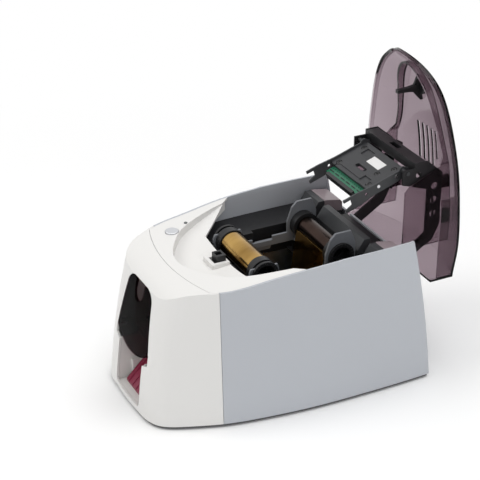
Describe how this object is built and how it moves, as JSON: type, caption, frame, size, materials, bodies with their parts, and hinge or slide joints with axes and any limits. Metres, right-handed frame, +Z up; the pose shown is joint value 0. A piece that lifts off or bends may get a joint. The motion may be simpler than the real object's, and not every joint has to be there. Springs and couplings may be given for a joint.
{
  "type": "desktop id card printer",
  "caption": "Desktop card printer with a smoked hinged lid, print head, ribbon cassette, card feeder door and exit bin",
  "frame": {"origin": "middle of the bounding box in plan, on the plane the feet stand on, with the lid open as in the picture", "axes": "X across the width, to the right of someone who faces the front; Y from the front to the rear; Z up"},
  "size_m": [0.2048, 0.361, 0.333],
  "materials": {
    "white_shell": "satin",
    "grey_side": "satin",
    "dark_tray": "matte",
    "foot_rubber": "matte",
    "frame_steel": "satin",
    "bright_steel": "polished",
    "black_plastic": "matte",
    "dark_grey": "matte",
    "taupe_plastic": "satin",
    "white_inner": "satin",
    "crimson_pad": "satin",
    "green_board": "satin",
    "led_lens": "clear",
    "bronze_bush": "satin",
    "motor_can": "satin",
    "smoked_lid": "smoked",
    "cable_black": "satin",
    "head_grey": "satin",
    "label_paper": "matte",
    "bar_black": "gloss",
    "cassette_grey": "satin",
    "gold_film": "glossy film",
    "dark_film": "glossy film",
    "smoked_window": "smoked",
    "silver_button": "metallic",
    "roller_rubber": "matte",
    "gear_plastic": "satin"
  },
  "bodies": {
    "body": {"base_tray": "dark_tray", "rubber_feet": "foot_rubber", "front_shell": "white_shell", "side_panels": "grey_side", "rear_panel": "grey_side", "top_deck": "white_shell", "chassis_plates": "frame_steel", "chassis_rods": "bright_steel", "hinge_pin": "bright_steel", "bay_liner": "black_plastic", "rear_frame": "black_plastic", "rear_beam": "dark_grey", "rear_corner_covers": "taupe_plastic", "card_hopper": "white_inner", "card_track": "black_plastic", "exit_ramp": "black_plastic", "exit_bin": "white_inner", "exit_pad": "crimson_pad", "button_board": "green_board", "status_led": "led_lens", "main_board": "green_board", "board_standoffs": "bright_steel", "rear_sockets": "black_plastic", "roller_bushes": "bronze_bush", "drive_motor": "motor_can", "feed_motor": "motor_can"},
    "lid": {"lid_shell": "smoked_lid", "lid_arms": "black_plastic", "lid_screws": "bright_steel", "lid_bracket": "black_plastic", "lid_hook": "black_plastic", "head_harness": "cable_black"},
    "print_head": {"head_plate": "head_grey", "head_label": "label_paper", "head_board": "green_board", "thermal_bar": "bar_black", "head_forks": "dark_grey", "fork_screws": "bright_steel"},
    "cassette": {"cassette_plates": "cassette_grey", "cassette_rails": "cassette_grey", "ribbon_web": "gold_film"},
    "supply_spool": {"supply_core": "black_plastic", "supply_film": "gold_film"},
    "takeup_spool": {"takeup_core": "black_plastic", "takeup_film": "dark_film"},
    "feeder_door": {"feeder_cover": "smoked_window"},
    "press": {"press_plate": "dark_grey"},
    "latch": {"latch_catch": "black_plastic"},
    "button": {"control_button": "silver_button"},
    "platen": {"platen_shaft": "bright_steel", "platen_roller": "roller_rubber", "platen_gear": "gear_plastic"},
    "feed": {"feed_shaft": "bright_steel", "feed_roller": "roller_rubber", "feed_gear": "gear_plastic"},
    "exit": {"exit_shaft": "bright_steel", "exit_roller": "roller_rubber", "exit_gear": "gear_plastic"},
    "drive_gear": {"drive_pinion": "gear_plastic"},
    "feed_drive_gear": {"feed_pinion": "gear_plastic"}
  },
  "joints": [
    {"name": "lid_hinge", "type": "hinge", "parent": "body", "child": "lid", "pos_m": [0, 0.10224, 0.112], "axis": [-1, 0, 0], "range_deg": [-90, 0]},
    {"name": "head_pivot", "type": "hinge", "parent": "lid", "child": "print_head", "pos_m": [0, 0.11824, 0.218], "axis": [1, 0, 0], "range_deg": [0, 3], "stiffness_Nm_per_rad": 0.6, "springref_deg": -5.73},
    {"name": "cassette_lift", "type": "slide", "parent": "body", "child": "cassette", "axis": [0, -0.3746, 0.9272], "range_m": [0, 0.09]},
    {"name": "supply_spin", "type": "hinge", "parent": "cassette", "child": "supply_spool", "pos_m": [0, -0.04276, 0.138], "axis": [1, 0, 0], "continuous": true},
    {"name": "takeup_spin", "type": "hinge", "parent": "cassette", "child": "takeup_spool", "pos_m": [0, 0.04524, 0.138], "axis": [1, 0, 0], "continuous": true},
    {"name": "feeder_hinge", "type": "hinge", "parent": "body", "child": "feeder_door", "pos_m": [0, -0.16398, 0.074], "axis": [1, 0, 0], "range_deg": [0, 60]},
    {"name": "press_slide", "type": "slide", "parent": "body", "child": "press", "axis": [0, 0, 1], "range_m": [0, 0.04]},
    {"name": "latch_slide", "type": "slide", "parent": "body", "child": "latch", "axis": [0, -1, 0], "range_m": [0, 0.003], "stiffness_N_per_m": 300, "springref_m": -0.001},
    {"name": "button_press", "type": "slide", "parent": "body", "child": "button", "axis": [0, 0, -1], "range_m": [0, 0.0015], "stiffness_N_per_m": 400, "springref_m": -0.001},
    {"name": "platen_spin", "type": "hinge", "parent": "body", "child": "platen", "pos_m": [0, 0.02064, 0.065], "axis": [1, 0, 0], "continuous": true},
    {"name": "drive_gear_spin", "type": "hinge", "parent": "body", "child": "drive_gear", "pos_m": [0, 0.02064, 0.04385], "axis": [1, 0, 0], "continuous": true},
    {"name": "feed_spin", "type": "hinge", "parent": "body", "child": "feed", "pos_m": [0, -0.08876, 0.0662], "axis": [1, 0, 0], "continuous": true},
    {"name": "exit_spin", "type": "hinge", "parent": "body", "child": "exit", "pos_m": [0, -0.11576, 0.04369], "axis": [1, 0, 0], "continuous": true},
    {"name": "feed_gear_spin", "type": "hinge", "parent": "body", "child": "feed_drive_gear", "pos_m": [0, -0.07291, 0.04732], "axis": [1, 0, 0], "continuous": true}
  ],
  "couplings": [
    {"joint": "takeup_spin", "follows": "supply_spin", "ratio": 1.218},
    {"joint": "drive_gear_spin", "follows": "platen_spin", "ratio": -2},
    {"joint": "exit_spin", "follows": "feed_spin", "ratio": -1},
    {"joint": "feed_gear_spin", "follows": "feed_spin", "ratio": -2.5}
  ]
}
